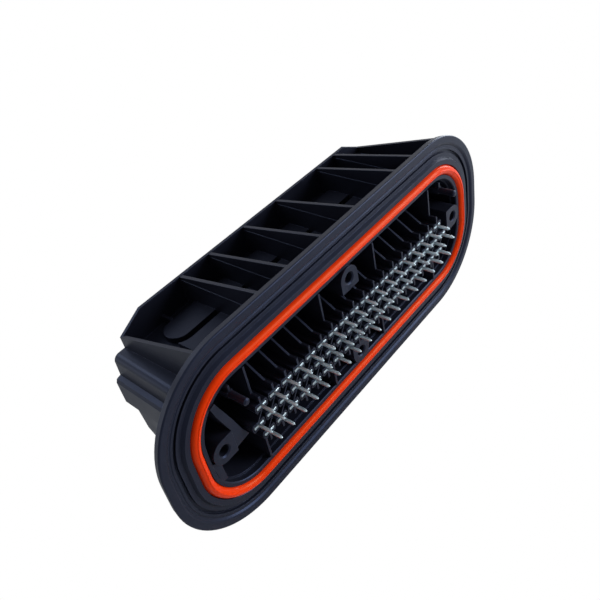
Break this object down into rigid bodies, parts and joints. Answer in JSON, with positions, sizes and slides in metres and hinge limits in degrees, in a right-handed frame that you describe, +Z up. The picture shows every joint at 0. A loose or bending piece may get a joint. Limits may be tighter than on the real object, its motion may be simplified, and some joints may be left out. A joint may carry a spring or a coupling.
{
  "type": "sealed automotive connector header",
  "caption": "Sealed board-mount connector header: oval flange with seal groove, rows of flat contacts with board tails, and a ribbed mating shroud.",
  "frame": {"origin": "middle of the four screw boss faces, on the plane where the circuit board seats", "axes": "+X along the connector's long axis, +Y from the board side to the mating side, +Z up the short axis"},
  "size_m": [0.1168, 0.032, 0.049],
  "materials": {
    "housing": "satin",
    "seal": "satin",
    "contact": "satin"
  },
  "bodies": {
    "root": {"housing": "housing", "seal": "seal", "contact_a01": "contact", "contact_a02": "contact", "contact_a03": "contact", "contact_a04": "contact", "contact_a05": "contact", "contact_a06": "contact", "contact_a07": "contact", "contact_a08": "contact", "contact_a09": "contact", "contact_a10": "contact", "contact_a11": "contact", "contact_a12": "contact", "contact_a13": "contact", "contact_a14": "contact", "contact_a15": "contact", "contact_a16": "contact", "contact_a17": "contact", "contact_a18": "contact", "contact_b01": "contact", "contact_b02": "contact", "contact_b03": "contact", "contact_b04": "contact", "contact_b05": "contact", "contact_b06": "contact", "contact_b07": "contact", "contact_b08": "contact", "contact_b09": "contact", "contact_b10": "contact", "contact_b11": "contact", "contact_b12": "contact", "contact_b13": "contact", "contact_b14": "contact", "contact_b15": "contact", "contact_b16": "contact", "contact_b17": "contact", "contact_b18": "contact", "contact_b19": "contact", "contact_c01": "contact", "contact_c02": "contact", "contact_c03": "contact", "contact_c04": "contact", "contact_c05": "contact", "contact_c06": "contact", "contact_c07": "contact", "contact_c08": "contact", "contact_c09": "contact", "contact_c10": "contact", "contact_c11": "contact", "contact_c12": "contact", "contact_c13": "contact", "contact_c14": "contact", "contact_c15": "contact", "contact_c16": "contact", "contact_c17": "contact", "contact_c18": "contact"}
  },
  "joints": []
}
